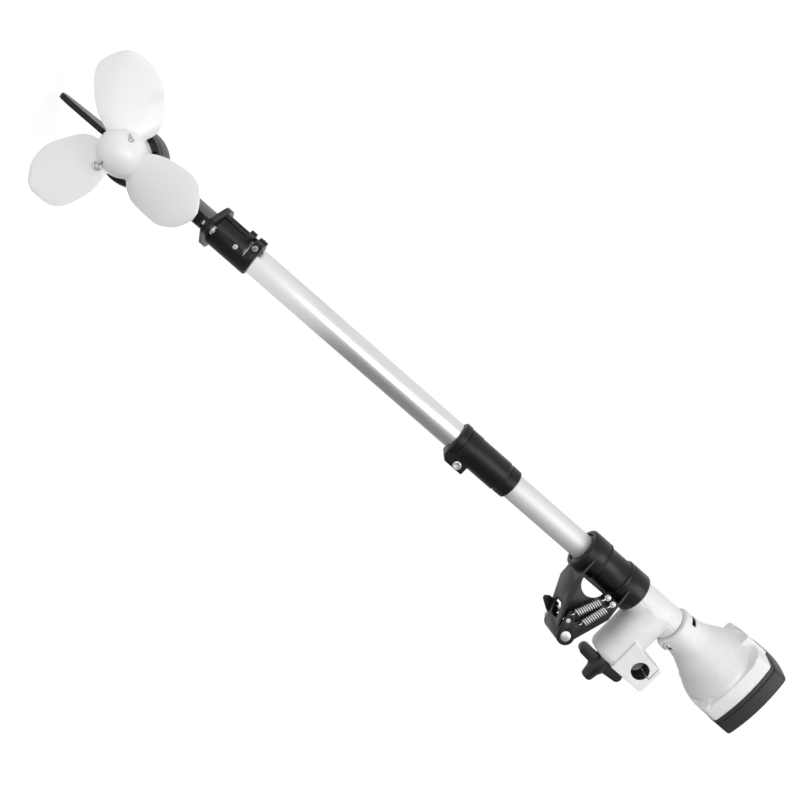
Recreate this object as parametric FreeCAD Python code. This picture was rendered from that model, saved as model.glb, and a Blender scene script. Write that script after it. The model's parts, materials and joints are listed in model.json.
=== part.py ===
import FreeCAD, Part
import math
import os

Vec = FreeCAD.Vector

# Lengths in mm. z = 0 is the face that the engine sits on, +z points out of it, and the shaft tube runs down -z.
# +X is the side that the swivel arm and the tiller boss reach out to, the propeller pushes along -Y.

# fits
RUN = 0.05          # radial play of a turning fit
GAP = 0.3           # play between parts that pass each other
SLIP = 0.02         # radial play of tubes in their clamps

# tubes and drive line
UPPER_TUBE_R = 13.5
LOWER_TUBE_R = 14.0
TUBE_WALL = 1.6
UPPER_TUBE_Z = (-394.0, -86.5)
LOWER_TUBE_Z = (-701.0, -396.0)
SHAFT_R = 4.0
SHAFT_BUSH_LEN = 16.0
SHAFT_BUSH_Z = (-670.0, -560.0, -450.0, -350.0, -250.0, -150.0)

# propeller
HUB_R = 22.2
HUB_BACK_D = 27.2
HUB_DOME = 24.0
BLADE_TIP = 86.6
BLADE_D = 45.0
PROP_PHASE = -0.8
SPLIT_PIN_BACK = 7.5    # from the dome's tip
SHAFT_PAST_PIN = 4.0
SPLIT_PIN_TURN = 14.0
PIN_HOLE_R = 2.0

# bevel gears that turn the drive through a right angle
PINION_TEETH = 14
BEVEL_TEETH = 20
PINION_R = 10.0
BEVEL_R = PINION_R * BEVEL_TEETH / PINION_TEETH

# the leg stands turned about the tube, as it hangs in the swivel
LEG_TURN = 8.0

# gear head and leg
PROP_Z = -809.0
HEAD_R = 29.5
HEAD_NOSE = -42.0
HEAD_FRONT = 26.0
COVER_THICK = 6.0
COVER_R = 27.5
LEG_CHORD = 74.0
LEG_THICK = 20.4
LEG_BLUNT = 11.6
LEG_TOP_Z = -716.3
SKEG_THICK = 5.5
SKEG_DEPTH = 83.0       # from the propeller's axis
FLANGE_JOINT_Z = -713.1
FLANGE_TOP_Z = -709.8
FLANGE_R = 22.0
FLANGE_EAR_R = 9.0
FLANGE_BOLT_AT = 32.0
FLANGE_BOLT_R = 2.5

# tube socket
SOCKET_R = 17.5
SOCKET_TOP_Z = -665.1
SOCKET_SPLIT = 60.0     # degrees round from the propeller side
SOCKET_LUG_Z = (-684.0, -665.1)
SOCKET_LUG_REACH = 22.6
SOCKET_BOLT_AT = 18.8
SOCKET_SLOT_Z = -675.7
SOCKET_SLOT_W = 2.5

# coupler between the two tubes
COUPLER_Z = (-405.0, -329.7)
COUPLER_R = 17.2
COUPLER_LUG_X = 24.5
COUPLER_LUG_Z = (-404.0, -377.5)

# swivel housing
HOUSING_Z = (-232.0, -156.0)
HOUSING_R = 22.0
HOUSING_WAIST_R = 20.0
HOUSING_BAND = 23.2
BUSH_WALL = 2.2
BUSH_FLANGE_R = 16.7
BUSH_FLANGE_T = 2.0
RING_RECESS = 3.0

# swivel arm, a folded steel channel that wraps the hinge barrel
PLATE = 2.0
ARM_Y = (-23.0, 19.0)
ARM_BOTTOM_Z = -222.8
ARM_TOP_Z = -172.6
ARM_HORN_X = 2.5
ARM_BEND_LOW = 35.0
ARM_BEND_HIGH = (38.0, -170.3)
ARM_FACE_X = 19.0
ARM_EYE = (20.6, -205.3)
ARM_EYE_R = 13.4
ARM_EYE_FLAT = 21.7

# tilt hinge
HINGE_X = 77.7
HINGE_Z = -194.7
BARREL_R = 7.0
PIN_R = 4.5
PIN_Y = (-27.3, 41.0)
PIN_END_R = 4.0
PIN_END_Y = 24.6
PIN_CLIP_R = 7.2
PIN_CLIP_T = 1.2

# tilt latch
LATCH_PLATE = 3.0
LATCH_EYE_R = 9.3
LATCH_ROD_R = 2.2
LATCH_ROD_AT = (64.0, -203.0)
LATCH_SWING = 7.0       # degrees
LATCH_TAB_LOW = (57.0, -205.0)
LATCH_TAB_HIGH = (60.0, -192.6)
LATCH_TIP = (63.2, -219.6)
STUD_R = 1.6
STUD_LOW = (21.5, -188.7)
STUD_HIGH = (23.4, -180.5)
SPRING_R = 4.35
SPRING_Y = -29.2
SPRING_WIRE_R = 0.6
SPRING_END_GAP = 4.3
SPRING_LEN = 26.0

# tiller head
HEAD_CLAMP_Z = (-155.7, -105.0)
HEAD_CLAMP_R = 18.0
BOSS_R = 22.7
BOSS_Z = -130.8
BOSS_END_X = 70.0
BLOCK_X = (40.0, 70.0)
BLOCK_Y = (-25.0, 14.0)
BLOCK_TOP_Z = -89.0
TILLER_BORE_R = 9.5
TILLER_BORE_X = 53.5
TILLER_BORE_Z = -106.0
TILLER_BORE_END = -5.0
TILLER_SLIT = 1.2

# wing screw
WING_STUD_R = 5.0
WING_X = (72.0, 86.0)
WING_REACH = 28.0
WING_HUB_END = 101.0

# clutch bell and engine pad
BELL_NECK_Z = (-104.5, -86.0)
BELL_NECK_R = 21.6
NECK_GROOVE_Z = -90.6
NECK_WINDOW_X = 12.5
NECK_WINDOW_Y = (-14.0, 5.0)
BELL_MOUTH_Z = -20.2
BELL_SHOULDER_Z = -40.0
BELL_MOUTH_R = 42.5
SQUARE_SIDE = 45.0
SQUARE_CORNER = 37.0
SQUARE_SHOULDER = 40.6
BOLT_CIRCLE = 96.0
BOLT_HOLE_R = 3.2
BELL_BOSS_R = 6.5
BELL_BOSS_Z = -38.0
PAD_JOINT_Z = -15.2
PAD_HOLE_R = 36.5
DRUM_R = 34.0
DRUM_Z = (-44.0, -6.0)
BEARING_R = 14.0
BEARING_Z = (-82.0, -72.0)


def cyl(axis, r, a, b, at=(0.0, 0.0)):
    """Round bar from a to b along an axis, at the other two coordinates."""
    if axis == "x":
        return Part.makeCylinder(r, b - a, Vec(a, at[0], at[1]), Vec(1, 0, 0))
    if axis == "y":
        return Part.makeCylinder(r, b - a, Vec(at[0], a, at[1]), Vec(0, 1, 0))
    return Part.makeCylinder(r, b - a, Vec(at[0], at[1], a), Vec(0, 0, 1))


def box(x, y, z):
    """Block between pairs of coordinates."""
    return Part.makeBox(x[1] - x[0], y[1] - y[0], z[1] - z[0], Vec(x[0], y[0], z[0]))


def turned(points, axis="z", at=(0.0, 0.0, 0.0)):
    """Solid of revolution from (along, radius) points about z, x or the propeller axis."""
    base = Vec(*at)
    if axis == "z":
        corners = [base + Vec(r, 0, a) for a, r in points]
        line = Vec(0, 0, 1)
    elif axis == "x":
        corners = [base + Vec(a, r, 0) for a, r in points]
        line = Vec(1, 0, 0)
    else:
        corners = [base + Vec(r, -a, 0) for a, r in points]
        line = Vec(0, -1, 0)
    face = Part.Face(Part.makePolygon(corners + [corners[0]]))
    return face.revolve(base, line, 360)


def rounded(points, radii):
    """Closed 2-D outline as a list of lines and arcs, each corner rounded by its own radius."""
    n = len(points)
    cuts = []
    for i in range(n):
        p = Vec(points[i][0], points[i][1], 0)
        a = Vec(points[i - 1][0], points[i - 1][1], 0) - p
        b = Vec(points[(i + 1) % n][0], points[(i + 1) % n][1], 0) - p
        a.normalize()
        b.normalize()
        r = radii[i]
        if r <= 0:
            cuts.append((p, None, p))
            continue
        half = a.getAngle(b) / 2
        reach = r / math.tan(half)
        mid = a + b
        mid.normalize()
        centre = p + mid * (r / math.sin(half))
        cuts.append((p + a * reach, centre - mid * r, p + b * reach))
    edges = []
    for i in range(n):
        start, mid, end = cuts[i]
        if mid is not None:
            edges.append(("arc", start, mid, end))
        after = cuts[(i + 1) % n][0]
        if (after - end).Length > 1e-6:
            edges.append(("line", end, after))
    return edges


def prism(edges, plane, a, b):
    """Outline in the xy, xz or yz plane pulled from a to b across it."""
    def lift(p):
        if plane == "xy":
            return Vec(p.x, p.y, a)
        if plane == "xz":
            return Vec(p.x, a, p.y)
        return Vec(a, p.x, p.y)
    across = {"xy": Vec(0, 0, b - a), "xz": Vec(0, b - a, 0), "yz": Vec(b - a, 0, 0)}[plane]
    made = []
    for e in edges:
        if e[0] == "arc":
            made.append(Part.Arc(lift(e[1]), lift(e[2]), lift(e[3])).toShape())
        else:
            made.append(Part.makeLine(lift(e[1]), lift(e[2])))
    return Part.Face(Part.Wire(made)).extrude(across)


def plate(points, radii, plane, a, b):
    """Flat plate with rounded corners."""
    return prism(rounded(points, radii), plane, a, b)


def hull(circles, plane, a, b):
    """Plate round two circles (x, y, r), with straight sides that touch both."""
    (x0, y0, r0), (x1, y1, r1) = circles
    c0, c1 = Vec(x0, y0, 0), Vec(x1, y1, 0)
    run = c1 - c0
    d = run.Length
    base = math.atan2(run.y, run.x)
    off = math.acos((r0 - r1) / d)

    def on(c, r, angle):
        return c + Vec(math.cos(angle), math.sin(angle), 0) * r
    edges = [
        ("line", on(c0, r0, base - off), on(c1, r1, base - off)),
        ("arc", on(c1, r1, base - off), on(c1, r1, base), on(c1, r1, base + off)),
        ("line", on(c1, r1, base + off), on(c0, r0, base + off)),
        ("arc", on(c0, r0, base + off), on(c0, r0, base + math.pi), on(c0, r0, base - off)),
    ]
    return prism(edges, plane, a, b)


def cap_screw(at, out, length, r=2.5, head_r=4.4, head_h=4.6):
    """Socket-head screw: at is under the head, out points the way the head faces."""
    out = Vec(*out)
    out.normalize()
    at = Vec(*at)
    head = Part.makeCylinder(head_r, head_h, at, out)
    key = Part.makeCylinder(head_r * 0.52, head_h * 0.55, at + out * (head_h * 0.45), out)
    shank = Part.makeCylinder(r, length, at - out * length, out)
    return head.cut(key).fuse(shank).removeSplitter()


def leg(shape):
    """Turn a piece made in the leg's own frame to where it hangs."""
    out = shape.copy()
    out.rotate(Vec(0, 0, 0), Vec(0, 0, 1), LEG_TURN)
    return out


parts = {}


def keep(name, *solids, on_leg=False):
    done = [leg(s) if on_leg else s for s in solids]
    shape = done[0] if len(done) == 1 else Part.makeCompound(done)
    parts[name] = shape


# tilt hinge pin, held by the clamp bracket at its free end
hinge_at = (HINGE_X, HINGE_Z)
latch_far = (ARM_Y[1] + GAP, ARM_Y[1] + GAP + LATCH_PLATE)
latch_near = (ARM_Y[0] - 0.8 - LATCH_PLATE, ARM_Y[0] - 0.8)
clip_y = latch_far[1] + GAP
pin = cyl("y", PIN_R, PIN_Y[0], PIN_END_Y, hinge_at)
pin = pin.fuse(cyl("y", PIN_END_R, PIN_END_Y, PIN_Y[1] - 1.0, hinge_at))
tip = Part.makeCone(PIN_END_R, PIN_END_R - 1.0, 1.0, Vec(HINGE_X, PIN_Y[1] - 1.0, HINGE_Z), Vec(0, 1, 0))
groove = cyl("y", PIN_R + 1, clip_y, clip_y + PIN_CLIP_T + 0.1, hinge_at)
groove = groove.cut(cyl("y", PIN_R - 0.8, clip_y - 1, clip_y + 3, hinge_at))
peen = Part.makeCone(PIN_R + 0.8, PIN_R, 0.9, Vec(HINGE_X, PIN_Y[0], HINGE_Z), Vec(0, 1, 0))
keep("hinge_pin", pin.fuse(tip).fuse(peen).cut(groove).removeSplitter())
clip = cyl("y", PIN_CLIP_R, clip_y + RUN, clip_y + RUN + PIN_CLIP_T, hinge_at)
clip = clip.cut(cyl("y", PIN_R - 0.8, clip_y - 1, clip_y + 3, hinge_at))
clip = clip.cut(box((HINGE_X - 1.8, HINGE_X + 1.8), (clip_y - 1, clip_y + 3), (HINGE_Z, HINGE_Z + 9)))
keep("hinge_pin_clip", clip)

# swivel arm
low_outer = ARM_BOTTOM_Z
high_outer = ARM_TOP_Z


def tangent_point(px, pz, cx, cz, r, side):
    d = math.hypot(cx - px, cz - pz)
    base = math.atan2(cz - pz, cx - px)
    turn = math.asin(r / d)
    run = math.sqrt(d * d - r * r)
    a = base + side * turn
    return px + run * math.cos(a), pz + run * math.sin(a)


def channel(inset):
    """Outline of the folded strap in the xz plane, inset by the plate thickness for its inside."""
    lo = low_outer + inset
    bend_lo = ARM_BEND_LOW + inset * 0.18
    hi_z = high_outer - inset
    bend_hi = (ARM_BEND_HIGH[0] - inset * 0.1, ARM_BEND_HIGH[1] - inset)
    r = BARREL_R + PLATE - inset
    t_lo = tangent_point(bend_lo, lo, HINGE_X, HINGE_Z, r, -1)
    t_hi = tangent_point(bend_hi[0], bend_hi[1], HINGE_X, HINGE_Z, r, 1)
    slope = (bend_hi[1] - hi_z) / (bend_hi[0] - ARM_HORN_X)
    x_open = -4.0
    open_hi = hi_z + slope * (x_open - ARM_HORN_X)
    p = [Vec(x_open, lo, 0), Vec(bend_lo, lo, 0), Vec(t_lo[0], t_lo[1], 0)]
    q = [Vec(t_hi[0], t_hi[1], 0), Vec(bend_hi[0], bend_hi[1], 0), Vec(x_open, open_hi, 0)]
    nose = Vec(HINGE_X + r, HINGE_Z, 0)
    return [
        ("line", p[0], p[1]), ("line", p[1], p[2]), ("arc", p[2], nose, q[0]),
        ("line", q[0], q[1]), ("line", q[1], q[2]), ("line", q[2], p[0]),
    ]


strap = prism(channel(0.0), "xz", ARM_Y[0], ARM_Y[1])
strap = strap.cut(prism(channel(PLATE), "xz", ARM_Y[0] - 1, ARM_Y[1] + 1))
face = prism(channel(PLATE - 0.01), "xz", ARM_Y[0], ARM_Y[0] + PLATE)
face = face.cut(box((-10, ARM_FACE_X), (-30, 0), (-240, -150)))
swing = math.radians(LATCH_SWING)
rod_x, rod_z = LATCH_ROD_AT[0] - HINGE_X, LATCH_ROD_AT[1] - HINGE_Z
rod_end = (HINGE_X + rod_x * math.cos(swing) - rod_z * math.sin(swing),
           HINGE_Z + rod_x * math.sin(swing) + rod_z * math.cos(swing))
rod_slot_r = LATCH_ROD_R + GAP + 0.2
face = face.cut(hull([(LATCH_ROD_AT[0], LATCH_ROD_AT[1], rod_slot_r), (rod_end[0], rod_end[1], rod_slot_r - 0.001)],
                     "xz", ARM_Y[0] - 1, ARM_Y[0] + 3))
eye_hole = cyl("y", ARM_EYE_R, ARM_Y[0] - 1, ARM_Y[0] + 3, ARM_EYE)
eye_hole = eye_hole.common(box((ARM_EYE_FLAT, 60), (-40, 0), (-240, -150)))
face = face.cut(eye_hole)
arm = strap.fuse(face)
arm = arm.cut(box((-10, ARM_HORN_X), (-40, 40), (-240, -150)))
arm = arm.cut(cyl("z", HOUSING_R + SLIP, -240, -150))
arm = arm.cut(cyl("y", BARREL_R, -40, 40, hinge_at))
arm = arm.cut(plate([(56, -12), (72, -12), (72, 9), (56, 9)], [4, 4, 4, 4], "xy", -225, -200))
for stud_at in (STUD_LOW, STUD_HIGH):
    arm = arm.cut(cyl("y", STUD_R, ARM_Y[0] - 1, ARM_Y[0] + 3, stud_at))
keep("swivel_arm", arm.removeSplitter())

barrel = cyl("y", BARREL_R, ARM_Y[0] - 0.5, ARM_Y[1], hinge_at)
keep("hinge_barrel", barrel.cut(cyl("y", PIN_R + RUN, -60, 60, hinge_at)))

# swivel housing with its two flanged bushes and the ring that carries the leg
z0, z1 = HOUSING_Z
bore = UPPER_TUBE_R + RUN + BUSH_WALL
outline = [
    (z0, BUSH_FLANGE_R), (z0, HOUSING_R - 2.0), (z0 + 0.6, HOUSING_R - 0.6), (z0 + 2.0, HOUSING_R),
    (z0 + HOUSING_BAND - 3.6, HOUSING_R), (z0 + HOUSING_BAND - 3.3, HOUSING_R - 0.6),
    (z0 + HOUSING_BAND - 2.2, HOUSING_R - 0.6), (z0 + HOUSING_BAND - 1.9, HOUSING_R),
    (z0 + HOUSING_BAND, HOUSING_R), (z0 + HOUSING_BAND + 0.9, HOUSING_WAIST_R),
    (z1 - HOUSING_BAND - 3.6, HOUSING_WAIST_R), (z1 - HOUSING_BAND - 2.7, HOUSING_R), (z1 - HOUSING_BAND, HOUSING_R),
    (z1 - HOUSING_BAND + 0.3, HOUSING_R - 0.6), (z1 - HOUSING_BAND + 1.4, HOUSING_R - 0.6), (z1 - HOUSING_BAND + 1.7, HOUSING_R),
    (z1 - 2.5, HOUSING_R), (z1 - 0.8, HOUSING_R - 0.8), (z1, HOUSING_R - 2.5), (z1, BUSH_FLANGE_R),
    (z1 - BUSH_FLANGE_T, BUSH_FLANGE_R), (z1 - BUSH_FLANGE_T, bore),
    (z0 + RING_RECESS + BUSH_FLANGE_T, bore), (z0 + RING_RECESS + BUSH_FLANGE_T, BUSH_FLANGE_R),
]
keep("swivel_housing", turned(outline))


def flanged_bush(z_flange, way):
    inner = UPPER_TUBE_R + RUN
    z_end = z_flange + way * BUSH_FLANGE_T
    flange = cyl("z", BUSH_FLANGE_R - SLIP, min(z_flange, z_end), max(z_flange, z_end))
    far = z_end + way * 26.0
    sleeve = cyl("z", bore - SLIP, min(z_end, far), max(z_end, far))
    return flange.fuse(sleeve).cut(cyl("z", inner, -400, 0)).removeSplitter()


keep("swivel_bushes", flanged_bush(z0 + RING_RECESS, 1), flanged_bush(z1, -1))
ring_top = z0 + RING_RECESS - 0.1
ring = cyl("z", BUSH_FLANGE_R - 0.9, ring_top - 1.6, ring_top)
ring = ring.cut(cyl("z", UPPER_TUBE_R - 0.8, -300, -100))
ring = ring.cut(box((-2.5, 2.5), (10, 30), (-300, -100)))
keep("swivel_stop_ring", ring, on_leg=True)

# studs that hold the latch springs
studs = []
for x, z in (STUD_LOW, STUD_HIGH):
    stud = cyl("y", STUD_R, SPRING_Y - 1.2, ARM_Y[0] + PLATE, (x, z))
    head = cyl("y", STUD_R + 0.4, SPRING_Y - 2.0, SPRING_Y - 1.1, (x, z))
    collar = cyl("y", STUD_R + 0.8, SPRING_Y + 1.1, ARM_Y[0], (x, z))
    studs.append(stud.fuse(head).fuse(collar).removeSplitter())
keep("spring_studs", *studs)

# latch: near arm, cross rod and far hook, riveted together
eye = cyl("y", PIN_R + RUN, -60, 60, hinge_at)
near = hull([(HINGE_X, HINGE_Z, LATCH_EYE_R), (LATCH_TAB_LOW[0], LATCH_TAB_LOW[1], 3.2)], "xz", *latch_near)
near = near.fuse(hull([(HINGE_X, HINGE_Z, LATCH_EYE_R), (LATCH_TAB_HIGH[0], LATCH_TAB_HIGH[1], 3.0)],
                      "xz", *latch_near))
near = near.fuse(hull([(HINGE_X, HINGE_Z, LATCH_EYE_R), (LATCH_ROD_AT[0], LATCH_ROD_AT[1], 4.4)], "xz", *latch_near))
near = near.cut(eye).cut(cyl("y", LATCH_ROD_R, -60, 60, LATCH_ROD_AT))
near = near.cut(Part.makeCone(PIN_R + 0.8 + RUN + 0.1, PIN_R + RUN, 1.0,
                              Vec(HINGE_X, PIN_Y[0], HINGE_Z), Vec(0, 1, 0)))
for tab in (LATCH_TAB_LOW, LATCH_TAB_HIGH):
    near = near.cut(cyl("y", 1.2, -60, 60, tab))
keep("latch_arm", near.removeSplitter())
keep("latch_cross_rod", cyl("y", LATCH_ROD_R, latch_near[0], latch_far[1], LATCH_ROD_AT))
tooth = plate(
    [(59.5, -203.0), (59.8, -215.0), LATCH_TIP, (66.5, -219.0), (73.5, -208.0), (76.0, -200.0), (66.0, -197.0)],
    [0, 2, 0.8, 1.5, 4, 0, 0], "xz", *latch_far)
hook = cyl("y", LATCH_EYE_R - 0.3, latch_far[0], latch_far[1], hinge_at).fuse(tooth)
hook = hook.cut(eye).cut(cyl("y", LATCH_ROD_R, -60, 60, LATCH_ROD_AT))
keep("latch_hook", hook.removeSplitter())


def tension_spring(stud, tab):
    """Close-wound body between a ring round the stud and a hook through the tab."""
    a = Vec(stud[0], SPRING_Y, stud[1])
    b = Vec(tab[0], SPRING_Y, tab[1])
    way = b - a
    way.normalize()
    end = b - way * SPRING_END_GAP
    start = end - way * SPRING_LEN
    body = Part.makeCylinder(SPRING_R, SPRING_LEN, start, way)
    body = body.cut(Part.makeCylinder(SPRING_R - 2 * SPRING_WIRE_R, SPRING_LEN - 2, start + way * 1.0, way))
    ring_r = STUD_R + SPRING_WIRE_R + RUN
    loop = Part.makeTorus(ring_r, SPRING_WIRE_R, a, Vec(0, 1, 0))
    lead = Part.makeCylinder(SPRING_WIRE_R, (start - a).Length - ring_r + 0.2, a + way * ring_r, way)
    tail = Part.makeCylinder(SPRING_WIRE_R, (b - end).Length + 0.1, end - way * 0.1, way)
    knee = Part.makeSphere(SPRING_WIRE_R, b)
    drop = cyl("y", SPRING_WIRE_R, SPRING_Y, ARM_Y[0] - 0.35, tab)
    return body.fuse([loop, lead, tail, knee, drop]).removeSplitter()


keep("lower_latch_spring", tension_spring(STUD_LOW, LATCH_TAB_LOW))
keep("upper_latch_spring", tension_spring(STUD_HIGH, LATCH_TAB_HIGH))

# leg: gear head, strut, skeg and flange in one casting, made in its own frame
head_profile = [
    (HEAD_NOSE, 0.0), (-41.4, 5.0), (-39.2, 10.5), (-35.0, 16.0), (-29.0, 20.8), (-20.0, 25.2), (-9.0, 28.4),
    (0.0, HEAD_R - 0.1), (5.0, HEAD_R), (12.0, HEAD_R - 0.3), (HEAD_FRONT - COVER_THICK, 28.3),
    (HEAD_FRONT - COVER_THICK, 0.0),
]
head_at = (0.0, 0.0, PROP_Z)
smooth = Part.BSplineCurve()
smooth.interpolate([Vec(r, -a, PROP_Z) for a, r in head_profile[:-1]],
                   InitialTangent=Vec(1, 0, 0), FinalTangent=Vec(-0.15, -1, 0))
front = -(HEAD_FRONT - COVER_THICK)
head_wire = Part.Wire([
    smooth.toShape(),
    Part.makeLine(Vec(28.3, front, PROP_Z), Vec(0, front, PROP_Z)),
    Part.makeLine(Vec(0, front, PROP_Z), Vec(0, -HEAD_NOSE, PROP_Z)),
])
gear_head = Part.Face(head_wire).revolve(Vec(*head_at), Vec(0, 1, 0), 360)

half = LEG_CHORD / 2
flank = [(LEG_BLUNT / 2, 1.0 - half), (8.9, -20.0), (LEG_THICK / 2, -2.0), (8.8, 15.0), (5.2, 28.0), (1.5, half - 1.0)]
right = Part.BSplineCurve()
right.interpolate([Vec(x, y, PROP_Z) for x, y in flank])
left = Part.BSplineCurve()
left.interpolate([Vec(-x, y, PROP_Z) for x, y in reversed(flank)])
nose = Part.Arc(Vec(1.5, half - 1.0, PROP_Z), Vec(0, half, PROP_Z), Vec(-1.5, half - 1.0, PROP_Z)).toShape()
blunt = Part.Arc(Vec(-LEG_BLUNT / 2, 1.0 - half, PROP_Z), Vec(0, -half, PROP_Z),
                 Vec(LEG_BLUNT / 2, 1.0 - half, PROP_Z)).toShape()
strut_wire = Part.Wire([right.toShape(), nose, left.toShape(), blunt])
strut = Part.Face(strut_wire).extrude(Vec(0, 0, LEG_TOP_Z - PROP_Z))
# the strut's near edge steps back over the gear head cover and leans out of the blades' way
near_edge = [
    (-60.0, PROP_Z - 20), (-HEAD_FRONT + COVER_THICK, PROP_Z - 20), (-HEAD_FRONT + COVER_THICK, PROP_Z + 29.0),
    (-24.5, PROP_Z + 30.5), (-half + 1.0, PROP_Z + BLADE_TIP), (-half - 1.0, LEG_TOP_Z), (-60.0, LEG_TOP_Z),
]
strut = strut.cut(plate(near_edge, [0, 0, 1.0, 3.0, 20.0, 0, 0], "yz", -30, 30))

skeg_tip = PROP_Z - SKEG_DEPTH
skeg_front = COVER_THICK - HEAD_FRONT + 0.2
skeg_outline = [
    (skeg_front, PROP_Z - 12), (16.0, PROP_Z - 12), (15.0, skeg_tip + 50.0), (9.0, skeg_tip + 30.0), (-2.0, skeg_tip + 8.0),
    (-8.0, skeg_tip), (-19.5, skeg_tip), (-22.5, skeg_tip + 12.0), (-22.0, skeg_tip + 49.0), (skeg_front, PROP_Z - HEAD_R),
]
skeg = plate(skeg_outline, [0, 0, 12, 30, 14, 5, 7, 10, 2, 0.5], "yz", -SKEG_THICK / 2, SKEG_THICK / 2)


def two_bolt_flange(za, zb):
    ears = hull([(0.0, 0.0, FLANGE_R), (0.0, FLANGE_BOLT_AT, FLANGE_EAR_R)], "xy", za, zb)
    ears = ears.fuse(hull([(0.0, 0.0, FLANGE_R), (0.0, -FLANGE_BOLT_AT, FLANGE_EAR_R)], "xy", za, zb))
    for side in (-1, 1):
        ears = ears.cut(cyl("z", FLANGE_BOLT_R + RUN, za - 1, zb + 1, (0.0, side * FLANGE_BOLT_AT)))
    return ears


GEAR_ROOM_R = 21.0
GEAR_ROOM = (-18.0, HEAD_FRONT - COVER_THICK)
BEARING_SMALL_R = 8.0
PROP_SHAFT_R = 5.0
leg_body = gear_head.fuse([strut, skeg, two_bolt_flange(LEG_TOP_Z, FLANGE_JOINT_Z)])
leg_body = leg_body.cut(Part.makeCylinder(GEAR_ROOM_R, GEAR_ROOM[1] - GEAR_ROOM[0] + 1,
                                          Vec(0, -GEAR_ROOM[0], PROP_Z), Vec(0, -1, 0)))
leg_body = leg_body.cut(Part.makeCylinder(BEARING_SMALL_R, 12, Vec(0, -GEAR_ROOM[0] + 8, PROP_Z), Vec(0, -1, 0)))
leg_body = leg_body.cut(cyl("z", BEARING_SMALL_R, PROP_Z, -700))
for side in (-1, 1):
    relief = cyl("z", FLANGE_BOLT_R + 2.6, LEG_TOP_Z - 3.6, LEG_TOP_Z, (0.0, side * FLANGE_BOLT_AT))
    leg_body = leg_body.cut(relief)
keep("leg_casting", leg_body.removeSplitter(), on_leg=True)

cover = turned([(HEAD_FRONT - COVER_THICK, PROP_SHAFT_R + 6), (HEAD_FRONT - COVER_THICK, 28.3), (HEAD_FRONT - 1.2, COVER_R),
                (HEAD_FRONT, COVER_R - 1.2), (HEAD_FRONT, PROP_SHAFT_R + 6)], "p", head_at)
for i in range(4):
    a = math.radians(45 + 90 * i)
    spot = Vec(24.2 * math.cos(a), -HEAD_FRONT - 1, PROP_Z + 24.2 * math.sin(a))
    cover = cover.cut(Part.makeCylinder(1.6, 10, spot, Vec(0, 1, 0)))
keep("gear_head_cover", cover, on_leg=True)
seal = turned([(HEAD_FRONT - COVER_THICK, PROP_SHAFT_R + RUN), (HEAD_FRONT - COVER_THICK, PROP_SHAFT_R + 6 - SLIP),
               (HEAD_FRONT - 0.5, PROP_SHAFT_R + 6 - SLIP), (HEAD_FRONT - 0.5, PROP_SHAFT_R + RUN)], "p", head_at)
keep("shaft_seal", seal, on_leg=True)

# tube socket bolted on the leg
socket = turned([(FLANGE_JOINT_Z, LOWER_TUBE_R - TUBE_WALL), (FLANGE_JOINT_Z, SOCKET_R), (SOCKET_TOP_Z - 1.2, SOCKET_R),
                 (SOCKET_TOP_Z, SOCKET_R - 1.2), (SOCKET_TOP_Z, LOWER_TUBE_R + SLIP),
                 (LOWER_TUBE_Z[0], LOWER_TUBE_R + SLIP), (LOWER_TUBE_Z[0], LOWER_TUBE_R - TUBE_WALL)])
socket = socket.fuse(two_bolt_flange(FLANGE_JOINT_Z, FLANGE_TOP_Z).cut(cyl("z", SOCKET_R - 1, -720, -700)))
lug = box((-SOCKET_LUG_REACH, -15.0), (-8.0, 8.0), SOCKET_LUG_Z)
lug = lug.cut(box((-27, -20.0), (4.5, 9), (-700, -660)))
lips = box((-19.0, -15.5), (-3.2, 3.2), (FLANGE_TOP_Z, SOCKET_LUG_Z[0] + 1))
split = box((-30.0, -10.0), (-0.7, 0.7), (LOWER_TUBE_Z[0] + 4, -660))
turn = 90.0 - SOCKET_SPLIT
for piece in (lug, lips, split):
    piece.rotate(Vec(0, 0, 0), Vec(0, 0, 1), turn)
socket = socket.fuse([lug, lips])
socket = socket.cut(cyl("z", LOWER_TUBE_R + SLIP, LOWER_TUBE_Z[0], -600)).cut(split)
wedge = [(-30.0, SOCKET_SLOT_Z - 3.0), (-8.0, SOCKET_SLOT_Z - SOCKET_SLOT_W / 2), (3.0, SOCKET_SLOT_Z - SOCKET_SLOT_W / 2),
         (3.0, SOCKET_SLOT_Z + SOCKET_SLOT_W / 2), (-8.0, SOCKET_SLOT_Z + SOCKET_SLOT_W / 2), (-30.0, SOCKET_SLOT_Z + 3.0)]
wedge = plate(wedge, [0] * 6, "xz", -30, 0)
socket = socket.cut(wedge)
lug_bolt = cap_screw((-SOCKET_BOLT_AT, -8.0, SOCKET_LUG_Z[1] - 4.6), (0, -1, 0), 16.0, 2.0, 3.0, 3.2)
bolt_hole = cyl("y", 2.0 + SLIP, -8.5, 8.5, (-SOCKET_BOLT_AT, SOCKET_LUG_Z[1] - 4.6))
lug_bolt.rotate(Vec(0, 0, 0), Vec(0, 0, 1), turn)
bolt_hole.rotate(Vec(0, 0, 0), Vec(0, 0, 1), turn)
socket = socket.cut(bolt_hole)
LOCATE_Z = -685.0
locate_hole = cyl("y", 2.5 + SLIP, -30, 0, (0.0, LOCATE_Z))
socket = socket.cut(locate_hole)
keep("tube_socket", socket.removeSplitter(), on_leg=True)
locate = cyl("y", 2.5, -SOCKET_R - 0.6, -LOWER_TUBE_R - SLIP, (0.0, LOCATE_Z))
locate = locate.cut(box((-0.5, 0.5), (-SOCKET_R - 2, -SOCKET_R + 0.6), (LOCATE_Z - 4, LOCATE_Z + 4)))
keep("socket_screws", lug_bolt, locate, on_leg=True)

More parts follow.
